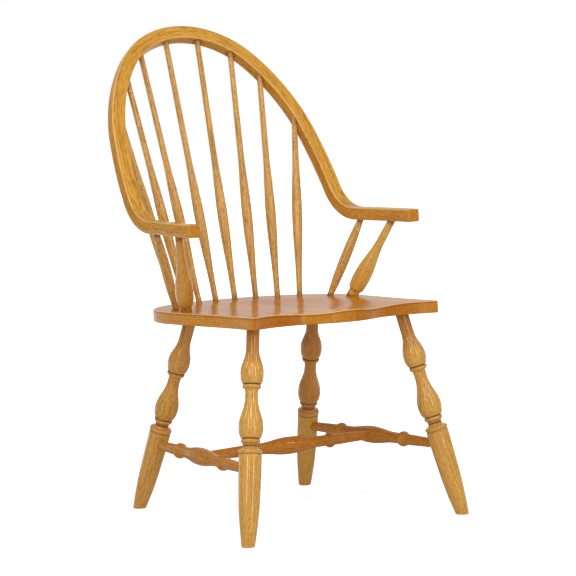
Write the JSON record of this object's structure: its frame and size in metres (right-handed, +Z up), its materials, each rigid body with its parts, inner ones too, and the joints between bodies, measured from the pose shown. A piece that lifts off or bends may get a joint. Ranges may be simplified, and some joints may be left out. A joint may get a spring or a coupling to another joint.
{
  "type": "windsor armchair",
  "caption": "Windsor armchair with a saddled board seat, turned splayed legs and stretchers, long back spindles, and one bent bow that forms both the back arch and the arms.",
  "frame": {"origin": "on the floor, on the mirror plane, in the middle of the box round the whole chair, so midway between the front of the front feet and the back of the crown", "axes": "+X towards the sitter's left, +Y towards the back of the chair, +Z up from the floor"},
  "size_m": [0.5696, 0.6873, 1.0403],
  "materials": {
    "oak_bow": "clear gloss lacquer over honey oak",
    "oak_turned": "clear gloss lacquer over honey oak",
    "oak_spindle": "clear gloss lacquer over honey oak",
    "oak_seat": "clear gloss lacquer over honey oak"
  },
  "bodies": {
    "root": {"bow": "oak_bow", "seat_board_1": "oak_seat", "seat_board_2": "oak_seat", "seat_board_3": "oak_seat", "seat_board_4": "oak_seat", "seat_board_5": "oak_seat", "seat_board_6": "oak_seat", "seat_board_7": "oak_seat", "leg_front_right": "oak_turned", "leg_back_right": "oak_turned", "side_stretcher_right": "oak_turned", "arm_post_right": "oak_turned", "arm_spindle_right": "oak_spindle", "spindle_right_1": "oak_spindle", "spindle_right_2": "oak_spindle", "spindle_right_3": "oak_spindle", "spindle_right_4": "oak_spindle", "leg_front_left": "oak_turned", "leg_back_left": "oak_turned", "side_stretcher_left": "oak_turned", "arm_post_left": "oak_turned", "arm_spindle_left": "oak_spindle", "spindle_left_1": "oak_spindle", "spindle_left_2": "oak_spindle", "spindle_left_3": "oak_spindle", "spindle_left_4": "oak_spindle", "centre_stretcher": "oak_turned"}
  },
  "joints": []
}
